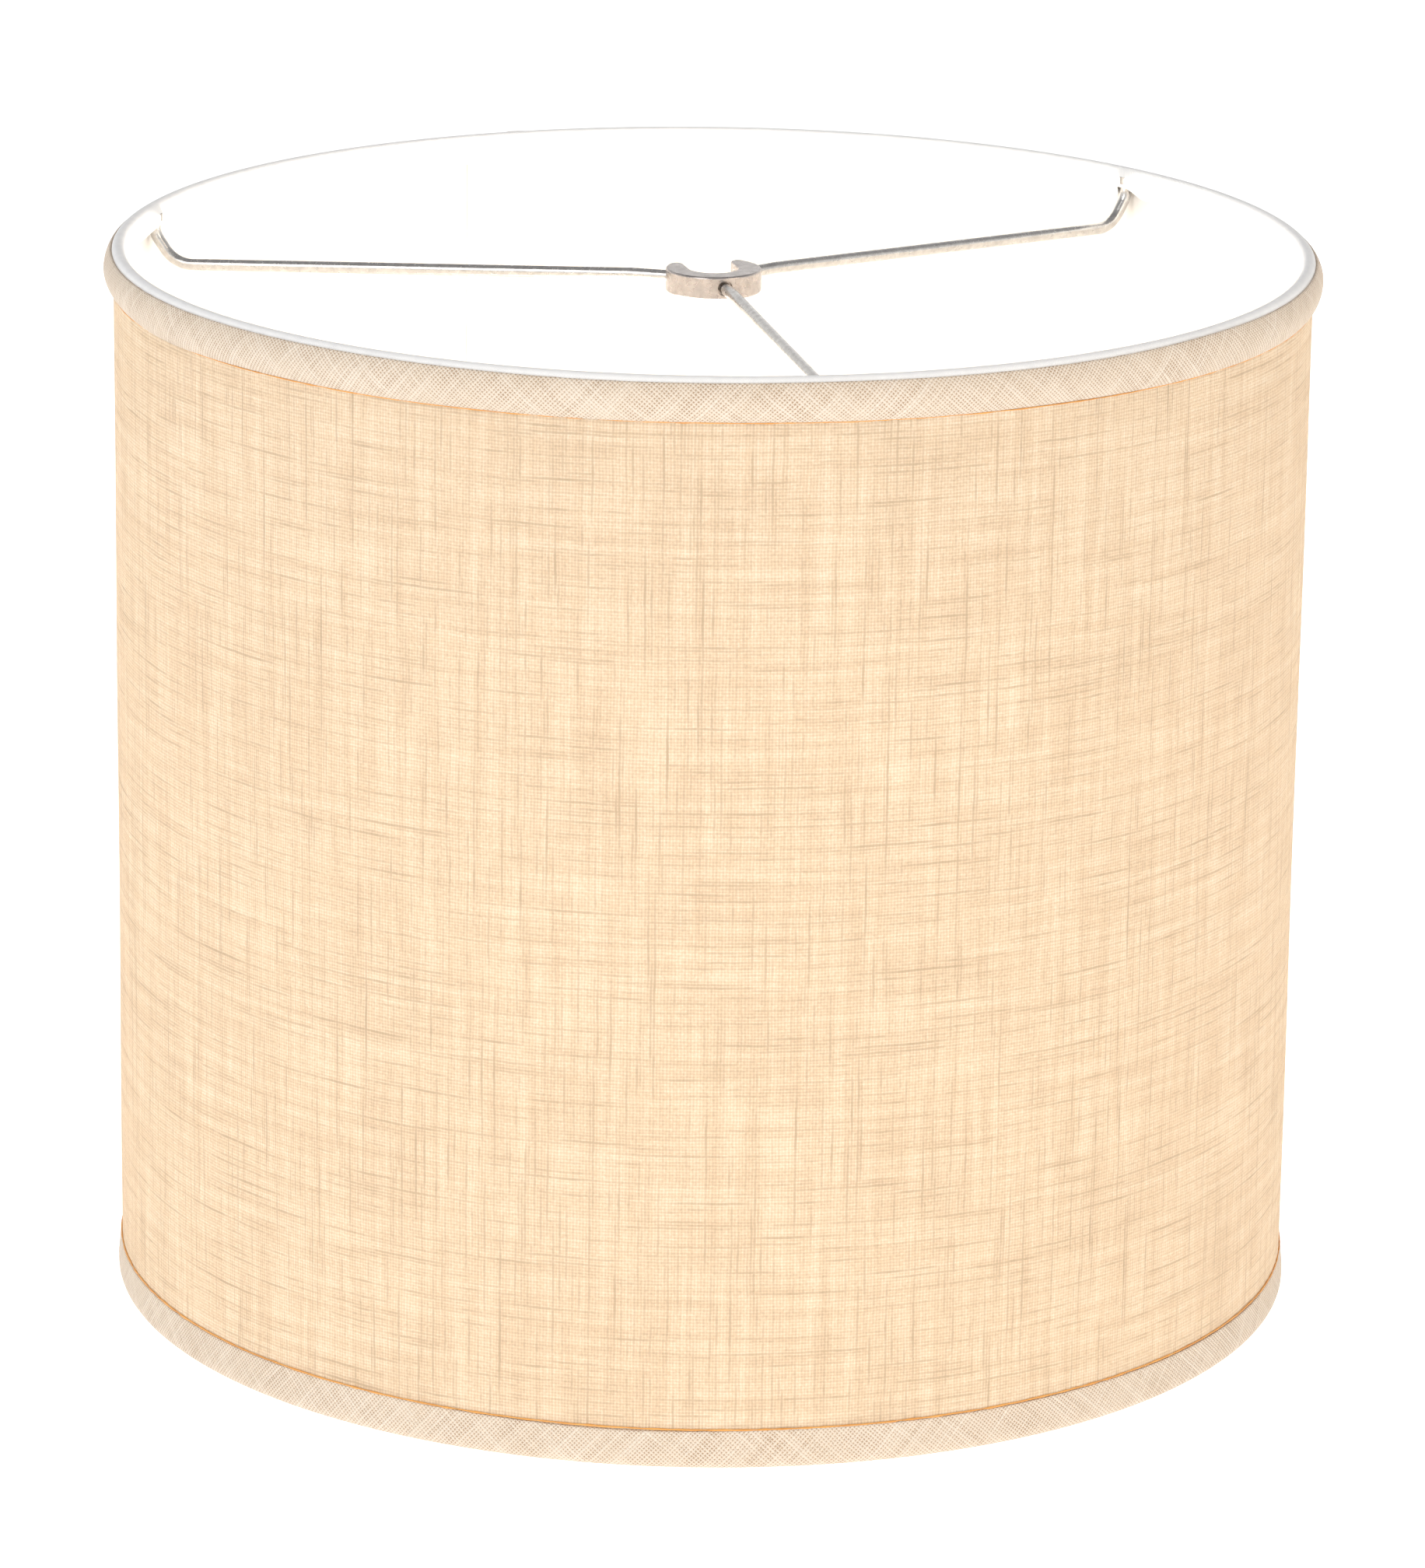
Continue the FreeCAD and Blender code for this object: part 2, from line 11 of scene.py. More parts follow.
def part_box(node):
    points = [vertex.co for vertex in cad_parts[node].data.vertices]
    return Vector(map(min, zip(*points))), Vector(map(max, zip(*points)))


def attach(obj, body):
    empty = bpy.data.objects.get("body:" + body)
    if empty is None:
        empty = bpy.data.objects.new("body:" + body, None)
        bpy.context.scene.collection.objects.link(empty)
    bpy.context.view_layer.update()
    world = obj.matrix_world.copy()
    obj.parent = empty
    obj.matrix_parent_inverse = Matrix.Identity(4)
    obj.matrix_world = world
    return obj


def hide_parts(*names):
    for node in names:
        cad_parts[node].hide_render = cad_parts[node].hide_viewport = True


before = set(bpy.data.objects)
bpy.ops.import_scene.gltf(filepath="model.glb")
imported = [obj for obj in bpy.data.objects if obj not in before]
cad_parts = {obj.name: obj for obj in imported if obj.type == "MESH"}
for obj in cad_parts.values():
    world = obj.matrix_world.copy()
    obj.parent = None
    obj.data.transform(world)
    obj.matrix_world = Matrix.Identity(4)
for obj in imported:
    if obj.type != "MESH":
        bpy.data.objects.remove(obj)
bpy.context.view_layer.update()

MM = 0.001


# ---------------------------------------------------------------- sizes read from the CAD frame

def half_width(node):
    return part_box(node)[1][0]


def middle_level(node):
    low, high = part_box(node)
    return (low[2] + high[2]) / 2


# The radius of the ring's wire, of its circle, and the levels of the two circles.
WIRE = (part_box("top_ring")[1][2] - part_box("top_ring")[0][2]) / 2
RING = half_width("top_ring") - WIRE
TOP = middle_level("top_ring")
BOTTOM = middle_level("bottom_ring")

# The outside of the linen, the inside of the liner, and the levels of their edges.
SHEET = 0.5 * MM
COVER = half_width("linen_cover")
LINER = half_width("styrene_liner") - SHEET
PANEL_LOW, PANEL_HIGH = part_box("linen_cover")[0][2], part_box("linen_cover")[1][2]

# The radius of an arm's wire, the tape with its glue, and the radius of the taped ring.
ARM_WIRE = 1.6 * MM
TAPE = 0.5 * MM
WRAP = WIRE + TAPE

# The trims' edges, and the radius at which the bottom trim goes round its ring.
TRIM_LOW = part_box("top_bias_trim")[0][2]
TRIM_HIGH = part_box("top_bias_trim")[1][2]
HEM_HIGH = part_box("bottom_bias_trim")[1][2]
ROLL = half_width("bottom_bias_trim") - RING

# Places round the drum, counted from +X.
WHOLE_TURN = 2 * math.pi
SEAM = math.radians(116.5)
SEAM_LAP = 10 * MM
SEAM_ARC = SEAM_LAP / COVER
ARM_BEARINGS = [math.radians(bearing) for bearing in (-75.5, 166.0, 42.5)]
TRIM_START = math.radians(103.5)
TRIM_OVERLAP = math.radians(8.2)

# The cloth: one thread to the next, and the angle of the trims' threads in degrees.
THREAD_PITCH = 0.86 * MM
BIAS = 42
CLOTH_WALL = 0.25 * MM
TAPE_WALL = 0.2 * MM


# ---------------------------------------------------------------- sections and strips

# Lengths too short to matter.
NO_LENGTH = 1e-9
SAME_PLACE = 1e-6
END_REACH = 1e-7


class Section:
    """The cut through a strip: a run of (radius, level) points."""

    def __init__(self, points):
        self.points = [Vector(point) for point in points]
        self.reach = [0.0]
        for before, after in zip(self.points, self.points[1:]):
            self.reach.append(self.reach[-1] + (after - before).length)
        self.length = self.reach[-1]

    def at(self, distance):
        distance = min(max(distance, 0.0), self.length)
        for number in range(1, len(self.points)):
            if distance <= self.reach[number]:
                break
        start, end = self.reach[number - 1], self.reach[number]
        share = (distance - start) / max(end - start, NO_LENGTH)
        return self.points[number - 1].lerp(self.points[number], share)


def arc(centre, radius, start, end, steps=10):
    """Points round an arc. Angles are in degrees, counted from straight outwards."""
    angles = [math.radians(start + (end - start) * step / steps) for step in range(steps + 1)]
    return [(centre[0] + radius * math.cos(a), centre[1] + radius * math.sin(a)) for a in angles]


def bowed(start, end, bulge, steps=14):
    """Points along an arc that bulges to the right of the line from start to end."""
    start, end = Vector(start), Vector(end)
    chord = end - start
    side = Vector((chord.y, -chord.x)).normalized()
    radius = (chord.length ** 2 / 4 + bulge ** 2) / (2 * bulge)
    centre = (start + end) / 2 - side * (radius - bulge)
    first = math.degrees(math.atan2(start.y - centre.y, start.x - centre.x))
    last = math.degrees(math.atan2(end.y - centre.y, end.x - centre.x))
    return arc(centre, radius, first, last, steps)


def smooth_step(low, high, value):
    share = min(max((value - low) / (high - low), 0.0), 1.0)
    return share * share * (3 - 2 * share)


def unevenness(angle, level, size, seed):
    """Small ups and downs of handwork, the same on every run."""
    place = Vector((math.cos(angle) * 3, math.sin(angle) * 3, level * 12 + seed))
    return size * noise.noise(place)


def flat_strip(length, width, cuts_along, cuts_across):
    """A flat rectangle of cloth. Its UV map is its lie in metres: along, then across."""
    bm = bmesh.new()
    bmesh.ops.create_grid(bm, x_segments=cuts_along, y_segments=cuts_across, size=0.5)
    bmesh.ops.translate(bm, verts=bm.verts, vec=(0.5, 0.5, 0))
    bmesh.ops.scale(bm, verts=bm.verts, vec=(length, width, 1))
    lie = bm.loops.layers.uv.new("cloth")
    for face in bm.faces:
        for loop in face.loops:
            loop[lie].uv = loop.vert.co.xy
    return bm


def roll_round(bm, start, radius_of_run, lay):
    """Bend a flat strip round the drum. lay gives the radius and level for an angle and a
    distance across the strip."""
    for vert in bm.verts:
        angle = start + vert.co.x / radius_of_run
        radius, level = lay(angle, vert.co.y)
        vert.co = (radius * math.cos(angle), radius * math.sin(angle), level)


def add_to_scene(name, data):
    added = bpy.data.objects.new(name, data)
    bpy.context.collection.objects.link(added)
    return added


def finish_piece(bm, name, material, replaced=()):
    """Turn a bmesh into a piece of the object."""
    mesh = bpy.data.meshes.new(name)
    bm.to_mesh(mesh)
    bm.free()
    for polygon in mesh.polygons:
        polygon.use_smooth = True
    mesh.materials.append(material)
    piece = add_to_scene(name, mesh)
    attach(piece, "root")
    if replaced:
        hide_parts(*replaced)
    return piece


def thicken(piece, thickness):
    """Give a strip its thickness on the side away from view."""
    wall = piece.modifiers.new("thickness", "SOLIDIFY")
    wall.thickness = thickness
    wall.offset = -1


# ---------------------------------------------------------------- material recipes

class Recipe:
    """One material's nodes. Inputs may be sockets or plain values."""

    def __init__(self, name):
        self.material = bpy.data.materials.new(name)
        self.material.use_nodes = True
        self.tree = self.material.node_tree
        self.tree.nodes.clear()

    def node(self, kind, inputs=None, **settings):
        made = self.tree.nodes.new(kind)
        for key, value in settings.items():
            setattr(made, key, value)
        for key, value in (inputs or {}).items():
            socket = made.inputs[key]
            if isinstance(value, bpy.types.NodeSocket):
                self.tree.links.new(value, socket)
            else:
                socket.default_value = value
        return made

    def math(self, operation, *values):
        inputs = dict(enumerate(values))
        return self.node("ShaderNodeMath", inputs, operation=operation).outputs[0]

    def vector(self, operation, *values):
        inputs = dict(enumerate(values))
        return self.node("ShaderNodeVectorMath", inputs, operation=operation).outputs[0]

    def noise(self, place, scale, detail=2.0, rough=0.5, colour=False):
        inputs = {"Vector": place, "Scale": scale, "Detail": detail, "Roughness": rough}
        made = self.node("ShaderNodeTexNoise", inputs)
        return made.outputs["Color" if colour else "Fac"]

    def place(self, x, y, z=0.0):
        return self.node("ShaderNodeCombineXYZ", {"X": x, "Y": y, "Z": z}).outputs[0]

    def spread(self, value, low, high, out_low=0.0, out_high=1.0, smooth=False):
        """Stretch a value from one range to another, held at both ends."""
        kind = "SMOOTHSTEP" if smooth else "LINEAR"
        inputs = {"Value": value, "From Min": low, "From Max": high,
                  "To Min": out_low, "To Max": out_high}
        return self.node("ShaderNodeMapRange", inputs, interpolation_type=kind).outputs[0]

    def ramp(self, value, stops):
        """Colours laid along a value. stops are (position, colour)."""
        made = self.node("ShaderNodeValToRGB", {"Fac": value})
        row = made.color_ramp.elements
        while len(row) < len(stops):
            row.new(0.5)
        for element, (position, colour) in zip(row, stops):
            element.position = position
            element.color = (*colour, 1)
        return made.outputs["Color"]

    def blend(self, share, first, second, kind="MIX"):
        made = self.node("ShaderNodeMix", data_type="RGBA", blend_type=kind)
        share_in, first_in, second_in = made.inputs[0], made.inputs[6], made.inputs[7]
        for socket, value in ((share_in, share), (first_in, first), (second_in, second)):
            if isinstance(value, bpy.types.NodeSocket):
                self.tree.links.new(value, socket)
            else:
                socket.default_value = (*value, 1) if isinstance(value, tuple) else value
        return made.outputs[2]

    def bump(self, height, depth, strength=1.0):
        inputs = {"Height": height, "Distance": depth, "Strength": strength}
        return self.node("ShaderNodeBump", inputs).outputs[0]

    def cloth_lie(self):
        """The place on the flat cloth, in metres along and across."""
        return self.node("ShaderNodeUVMap", uv_map="cloth").outputs[0]

    def place_on_piece(self):
        return self.node("ShaderNodeTexCoord").outputs["Object"]

    def skin(self, colour, rough, bump=None, **settings):
        """An opaque face."""
        inputs = {"Base Color": colour, "Roughness": rough}
        if bump is not None:
            inputs["Normal"] = bump
        return self.node("ShaderNodeBsdfPrincipled", {**inputs, **settings}).outputs[0]

    def lit_through(self, share, front, glow_colour):
        """A face that lets a share of the light from behind it through."""
        back = self.node("ShaderNodeBsdfTranslucent", {"Color": glow_colour}).outputs[0]
        return self.node("ShaderNodeMixShader", {0: share, 1: front, 2: back}).outputs[0]

    def surface(self, shader):
        out = self.node("ShaderNodeOutputMaterial", {"Surface": shader})
        out.target = "ALL"
        return self.material


def thread(recipe, across, along, seed):
    """One set of threads: rounded cross-section, up-and-down wave and slubs."""
    thread_apart, slub_stretch = 1.73, 0.018
    number = recipe.math("FLOOR", across)
    offset = recipe.math("SUBTRACT", recipe.math("FRACT", across), 0.5)
    place = recipe.place(recipe.math("MULTIPLY", number, thread_apart),
                         recipe.math("MULTIPLY", along, slub_stretch), seed)
    fatness = recipe.noise(place, 1.0, detail=4.0, rough=0.68)
    slub = recipe.spread(fatness, 0.53, 0.74)
    width = recipe.spread(fatness, 0.28, 0.68, 0.19, 0.50)
    share = recipe.math("DIVIDE", offset, width)
    rounded = recipe.math("SUBTRACT", 1.0, recipe.math("MULTIPLY", share, share))
    rounded = recipe.math("MAXIMUM", rounded, 0.0)
    phase = recipe.math("MULTIPLY", recipe.math("ADD", number, along), math.pi)
    return rounded, recipe.math("SINE", phase), slub


def thread_bands(recipe, across, along, seed):
    """Stretches of cloth where neighbouring threads are all a little fatter or thinner."""
    place = recipe.place(across, along, seed)
    return recipe.noise(place, 1.0, detail=4.0, rough=0.65)


def wandering_lie(recipe, lie, drift):
    """The cloth's lie with its threads pushed a little to and fro."""
    wander = recipe.noise(lie, 55.0, detail=3.0, rough=0.6, colour=True)
    wander = recipe.vector("SCALE", recipe.vector("SUBTRACT", wander, (0.5, 0.5, 0.5)))
    wander.node.inputs["Scale"].default_value = drift
    return recipe.vector("ADD", lie, wander)


def weave(recipe, turn, drift=0.9 * MM):
    """A plain weave on the cloth's own lie: its height, and how much light the threads stop."""
    lie = recipe.cloth_lie()
    inputs = {"Vector": wandering_lie(recipe, lie, drift),
              "Scale": (1 / THREAD_PITCH, 1 / THREAD_PITCH, 1),
              "Rotation": (0, 0, math.radians(turn))}
    turned = recipe.node("ShaderNodeMapping", inputs).outputs[0]
    parts = recipe.node("ShaderNodeSeparateXYZ", {"Vector": turned})
    x, y = parts.outputs["X"], parts.outputs["Y"]
    warp, warp_wave, warp_slub = thread(recipe, x, y, 0.3)
    weft, weft_wave, weft_slub = thread(recipe, y, x, 7.1)

    warp_high = recipe.math("MULTIPLY", warp, recipe.math("MULTIPLY_ADD", warp_wave, 0.5, 0.5))
    weft_high = recipe.math("MULTIPLY", weft, recipe.math("MULTIPLY_ADD", weft_wave, -0.5, 0.5))
    slub = recipe.math("MAXIMUM", recipe.math("MULTIPLY", warp_slub, warp),
                       recipe.math("MULTIPLY", weft_slub, weft))
    height = recipe.math("MULTIPLY_ADD", slub, 0.4, recipe.math("MAXIMUM", warp_high, weft_high))

    band_width, band_stretch = 0.30, 0.016
    across_bands = thread_bands(recipe, recipe.math("MULTIPLY", x, band_width),
                                recipe.math("MULTIPLY", y, band_stretch), 3.0)
    up_bands = thread_bands(recipe, recipe.math("MULTIPLY", x, band_stretch),
                            recipe.math("MULTIPLY", y, band_width), 9.0)
    bands = recipe.math("SUBTRACT", recipe.math("ADD", across_bands, up_bands), 1.0)
    fuzz = recipe.math("SUBTRACT", recipe.noise(lie, 1100.0, detail=2.0, rough=0.7), 0.5)

    warp_stop = recipe.math("MULTIPLY", warp, recipe.math("MULTIPLY_ADD", warp_wave, 0.16, 0.5))
    weft_stop = recipe.math("MULTIPLY", weft, recipe.math("MULTIPLY_ADD", weft_wave, -0.16, 0.5))
    stopped = recipe.math("ADD", warp_stop, weft_stop)
    for part, share in ((bands, 1.8), (slub, 0.35), (fuzz, 1.9)):
        stopped = recipe.math("MULTIPLY_ADD", part, share, stopped)
    return {"lie": lie, "height": height, "stopped": stopped, "slub": slub}


# How the face of the linen takes light, on the panel and on the trims.
CLOTH_FACE = {"Sheen Weight": 0.15, "Specular IOR Level": 0.25}


def linen_panel_material():
    """Plain-weave natural linen, lit through: light gaps, warm threads, greyer slubs."""
    recipe = Recipe("linen_cloth")
    cloth = weave(recipe, 0)
    share = recipe.spread(cloth["stopped"], -0.5, 1.9)
    through = recipe.ramp(share, [
        (0.0, (1.0, 0.90, 0.72)), (0.45, (0.86, 0.63, 0.385)), (1.0, (0.54, 0.36, 0.195))])
    face = recipe.ramp(share, [
        (0.0, (0.88, 0.79, 0.67)), (0.45, (0.76, 0.65, 0.51)), (1.0, (0.60, 0.48, 0.35))])
    tan = recipe.math("MULTIPLY", cloth["slub"], 0.85)
    through = recipe.blend(tan, through, (0.51, 0.36, 0.21))
    face = recipe.blend(tan, face, (0.60, 0.48, 0.34))
    front = recipe.skin(face, 0.85, recipe.bump(cloth["height"], 0.16 * MM), **CLOTH_FACE)
    return recipe.surface(recipe.lit_through(0.4, front, through))


def bias_trim_material():
    """The same linen cut on the bias and doubled, so no light comes through it."""
    recipe = Recipe("trim_cloth")
    cloth = weave(recipe, BIAS)
    # The weave's low parts between the threads are painted dark brown: painted shade in the gaps
    # between the threads.
    face = recipe.ramp(recipe.spread(cloth["height"], 0.0, 1.1), [
        (0.0, (0.40, 0.27, 0.17)), (0.22, (0.75, 0.62, 0.49)), (1.0, (0.84, 0.75, 0.64))])
    tint = recipe.noise(cloth["lie"], 90.0, detail=3.0)
    face = recipe.blend(recipe.spread(tint, 0.35, 0.75, 0.0, 0.30), face, (0.75, 0.62, 0.47))
    front = recipe.skin(face, 0.85, recipe.bump(cloth["height"], 0.2 * MM), **CLOTH_FACE)
    return recipe.surface(front)


def tape_material():
    """White tape with a fine close weave."""
    recipe = Recipe("lining_tape")
    lie = recipe.cloth_lie()
    parts = recipe.node("ShaderNodeSeparateXYZ", {"Vector": lie})
    pitch = WHOLE_TURN / (0.7 * MM)
    warp = recipe.math("SINE", recipe.math("MULTIPLY", parts.outputs["X"], pitch))
    weft = recipe.math("SINE", recipe.math("MULTIPLY", parts.outputs["Y"], pitch))
    creases = recipe.noise(lie, 260.0, detail=3.0)
    height = recipe.math("MULTIPLY_ADD", creases, 1.5, recipe.math("MULTIPLY", warp, weft))
    # The tape's colour follows the crease height and is darker in the hollows: painted shade in
    # the creases.
    colour = recipe.ramp(recipe.spread(creases, 0.3, 0.7), [
        (0.0, (0.88, 0.88, 0.88)), (1.0, (0.94, 0.94, 0.93))])
    front = recipe.skin(colour, 0.8, recipe.bump(height, 0.05 * MM), **{"Sheen Weight": 0.1})
    return recipe.surface(front)


def liner_material():
    """White rigid lining sheet with a satin face; a little light goes through it."""
    recipe = Recipe("liner_sheet")
    lie = recipe.cloth_lie()
    cloud = recipe.noise(lie, 18.0, detail=4.0)
    colour = recipe.ramp(recipe.spread(cloud, 0.3, 0.7), [
        (0.0, (0.88, 0.87, 0.85)), (1.0, (0.92, 0.91, 0.89))])
    grain = recipe.noise(lie, 2200.0, detail=2.0)
    front = recipe.skin(colour, 0.5, recipe.bump(grain, 0.02 * MM))
    return recipe.surface(recipe.lit_through(0.35, front, (0.92, 0.88, 0.80, 1)))


def cut_edge_material():
    """A yellowish cut edge at the liner's lap: painted shade of the linen's lap seam seen through
    the lit liner.
    """
    recipe = Recipe("liner_cut_edge")
    patchy = recipe.noise(recipe.place_on_piece(), 160.0, detail=2.0)
    colour = recipe.ramp(patchy, [(0.3, (0.85, 0.72, 0.50)), (0.7, (0.90, 0.84, 0.72))])
    return recipe.surface(recipe.skin(colour, 0.5))


def painted_gap_material(name, light, dark):
    """Colour for a painted line along a trim's edge: painted glow where the gap is lit from
    behind, painted shadow where the gap is shaded.
    """
    recipe = Recipe(name)
    place = recipe.place_on_piece()
    patchy = recipe.noise(place, 140.0, detail=4.0, rough=0.6)
    colour = recipe.ramp(recipe.spread(patchy, 0.3, 0.7), [(0.0, light), (1.0, dark)])
    bump = recipe.bump(recipe.noise(place, 1500.0), 0.05 * MM)
    return recipe.surface(recipe.skin(colour, 0.55, bump))


def metal_material(name, light, dark, rough, grain=500.0):
    """Galvanised steel, cloudy and finely grained."""
    recipe = Recipe(name)
    place = recipe.place_on_piece()
    cloud = recipe.noise(place, grain, detail=4.0, rough=0.6)
    colour = recipe.ramp(recipe.spread(cloud, 0.32, 0.68), [(0.0, dark), (1.0, light)])
    wear = recipe.noise(place, grain * 1.7, detail=3.0)
    roughness = recipe.spread(wear, 0.3, 0.7, rough * 0.75, rough * 1.25)
    bump = recipe.bump(recipe.noise(place, grain * 2, detail=3.0), 0.008 * MM)
    front = recipe.skin(colour, roughness, bump, Metallic=1.0)
    return recipe.surface(front)


# ---------------------------------------------------------------- camera, floor and light

CAMERA_PLACE = (0, -1.9584, 0.7084)
CAMERA_YAW, CAMERA_DIP, CAMERA_ROLL = -0.047, 16.213, 0.784
TABLE_GLOW = 0.74
ROOM_WHITE, CEILING_GREY = (1.0, 1.0, 1.0, 1), (0.38, 0.38, 0.39, 1)


def set_camera():
    """A long lens in front of the shade, looking a little down on it."""
    data = bpy.data.cameras.new("camera")
    data.lens = 169.16
    data.sensor_width = 36
    data.clip_start, data.clip_end = 0.1, 50
    camera = add_to_scene("camera", data)
    yaw = Matrix.Rotation(math.radians(CAMERA_YAW), 4, "Z")
    pitch = Matrix.Rotation(math.radians(90 - CAMERA_DIP), 4, "X")
    roll = Matrix.Rotation(math.radians(CAMERA_ROLL), 4, "Z")
    camera.matrix_world = Matrix.Translation(CAMERA_PLACE) @ yaw @ pitch @ roll
    bpy.context.scene.camera = camera


def set_floor():
    """A pale table that glows softly, so that nothing on it throws a hard shadow."""
    recipe = Recipe("pale_table")
    cloud = recipe.noise(recipe.place_on_piece(), 3.0, detail=2.0)
    colour = recipe.ramp(cloud, [(0.0, (0.86, 0.86, 0.86)), (1.0, (0.9, 0.9, 0.9))])
    glow = {"Emission Color": (1, 1, 1, 1), "Emission Strength": TABLE_GLOW}
    material = recipe.surface(recipe.skin(colour, 0.9, **glow))
    bm = bmesh.new()
    bmesh.ops.create_grid(bm, x_segments=8, y_segments=8, size=9)
    mesh = bpy.data.meshes.new("floor")
    bm.to_mesh(mesh)
    bm.free()
    mesh.materials.append(material)
    add_to_scene("floor", mesh)


def soft_box(name, place, aim, width, watts, colour=(1, 1, 1)):
    """A square of soft light at a place, facing the point it aims at."""
    data = bpy.data.lights.new(name, "AREA")
    data.shape = "SQUARE"
    data.size = width
    data.energy = watts
    data.color = colour
    light = add_to_scene(name, data)
    turn = (Vector(aim) - Vector(place)).to_track_quat("-Z", "Y").to_matrix().to_4x4()
    light.matrix_world = Matrix.Translation(place) @ turn
    light.visible_camera = False


def inner_glow(name, level, watts):
    """A soft light near the drum's axis, hidden from view."""
    data = bpy.data.lights.new(name, "POINT")
    data.shadow_soft_size = 0.05
    data.energy = watts
    data.color = (1, 0.97, 0.93)
    glow = add_to_scene(name, data)
    glow.location = (-0.015, 0, level)
    glow.visible_camera = False


def set_studio():
    """White walls all round, with a grey ceiling."""
    world = bpy.data.worlds.new("studio")
    world.use_nodes = True
    tree = world.node_tree
    background = tree.nodes["Background"]
    place = tree.nodes.new("ShaderNodeTexCoord")
    parts = tree.nodes.new("ShaderNodeSeparateXYZ")
    ramp = tree.nodes.new("ShaderNodeValToRGB")
    tree.links.new(place.outputs["Generated"], parts.inputs[0])
    tree.links.new(parts.outputs["Z"], ramp.inputs[0])
    tree.links.new(ramp.outputs[0], background.inputs[0])
    wall, ceiling = ramp.color_ramp.elements
    wall.position, wall.color = 0.35, ROOM_WHITE
    ceiling.position, ceiling.color = 0.68, CEILING_GREY
    background.inputs[1].default_value = 1.0
    bpy.context.scene.world = world


def set_lights():
    set_studio()
    middle = (0, 0, 0.15)
    soft_box("key", (-1.5, -2.2, 1.9), middle, width=1.6, watts=25)
    soft_box("fill", (2.2, -1.8, 1.3), middle, width=1.4, watts=16, colour=(1, 0.84, 0.66))
    inner_glow("low_glow", level=0.08, watts=0.45)
    inner_glow("high_glow", level=0.22, watts=0.76)


# ---------------------------------------------------------------- the drum's sheets

# Where a sheet starts, under its lap. A vertex at LOWER_LAYER is moved down to the layer
# below, and STEP_GAP keeps it just clear of that layer.
LAPPED_FROM = SEAM - SEAM_ARC
LOWER_LAYER = -1
STEP_GAP = 0.02 * MM


def lap_rise(angle):
    """How far the last stretch of a sheet has climbed over its own start."""
    lap_start = SEAM + WHOLE_TURN - SEAM_ARC
    share = smooth_step(lap_start - math.radians(0.7), lap_start - math.radians(0.05), angle)
    return SHEET * share


def turn_down_end(bm, run_end):
    """Close the thickness of a sheet's free end down to the layer below."""
    edges = [edge for edge in bm.edges if edge.is_boundary
             and all(abs(vert.co.x - run_end) < END_REACH for vert in edge.verts)]
    made = bmesh.ops.extrude_edge_only(bm, edges=edges)
    for item in made["geom"]:
        if isinstance(item, bmesh.types.BMVert):
            item.co.z = LOWER_LAYER
    return [item for item in made["geom"] if isinstance(item, bmesh.types.BMFace)]


def stand_off(vert, angle):
    """How far a sheet's point stands off the drum: on the lap, or next to the layer below."""
    on_lower_layer = vert.co.z < LOWER_LAYER / 2
    return STEP_GAP if on_lower_layer else lap_rise(angle)


def linen_cover(material):
    """The linen outside: one lapped sheet, very slightly uneven away from its edges."""
    run = WHOLE_TURN * COVER + SEAM_LAP
    height = PANEL_HIGH - PANEL_LOW
    held_edge = 30 * MM
    bm = flat_strip(run, height, cuts_along=540, cuts_across=60)
    turn_down_end(bm, run)
    for vert in bm.verts:
        angle = LAPPED_FROM + vert.co.x / COVER
        level = PANEL_LOW + vert.co.y
        free = smooth_step(0, held_edge, vert.co.y) * smooth_step(0, held_edge, height - vert.co.y)
        radius = COVER + stand_off(vert, angle) + unevenness(angle, level, 0.25 * MM, 2.0) * free
        vert.co = (radius * math.cos(angle), radius * math.sin(angle), level)
    piece = finish_piece(bm, "linen_panel", material, ["linen_cover"])


def liner_sheet(material, edge_material):
    """The rigid liner inside: one lapped sheet that shows its cut edge at the lap."""
    run = WHOLE_TURN * LINER + SEAM_LAP
    height = PANEL_HIGH - PANEL_LOW
    bm = flat_strip(run, height, cuts_along=540, cuts_across=40)
    # The turned-down end gets the yellowish edge colour, painted shade of the linen's lap seen
    # through the liner.
    for face in turn_down_end(bm, run):
        face.material_index = 1
    for vert in bm.verts:
        angle = LAPPED_FROM + vert.co.x / LINER
        level = PANEL_LOW + vert.co.y
        radius = LINER - stand_off(vert, angle)
        vert.co = (radius * math.cos(angle), radius * math.sin(angle), level)
    bmesh.ops.reverse_faces(bm, faces=bm.faces)
    piece = finish_piece(bm, "styrene_sheet", material, ["styrene_liner"])
    piece.data.materials.append(edge_material)


# ---------------------------------------------------------------- tapes

def foot_tent(angle):
    """Nearness to an arm's foot, 1 over the foot and 0 a few millimetres away."""
    near = min(abs(math.remainder(angle - bearing, WHOLE_TURN)) for bearing in ARM_BEARINGS)
    return 1 - smooth_step(1.5 * MM, 5.5 * MM, near * RING)


def wrapped_tape(name, section, lay, material, node, cuts_along, cuts_across):
    """A tape of one section, rolled round its ring and joined end to end."""
    run = WHOLE_TURN * RING
    bm = flat_strip(run, section.length, cuts_along, cuts_across)
    roll_round(bm, SEAM, RING, lay)
    bmesh.ops.remove_doubles(bm, verts=bm.verts, dist=SAME_PLACE)
    piece = finish_piece(bm, name, material, [node])
    thicken(piece, TAPE_WALL)


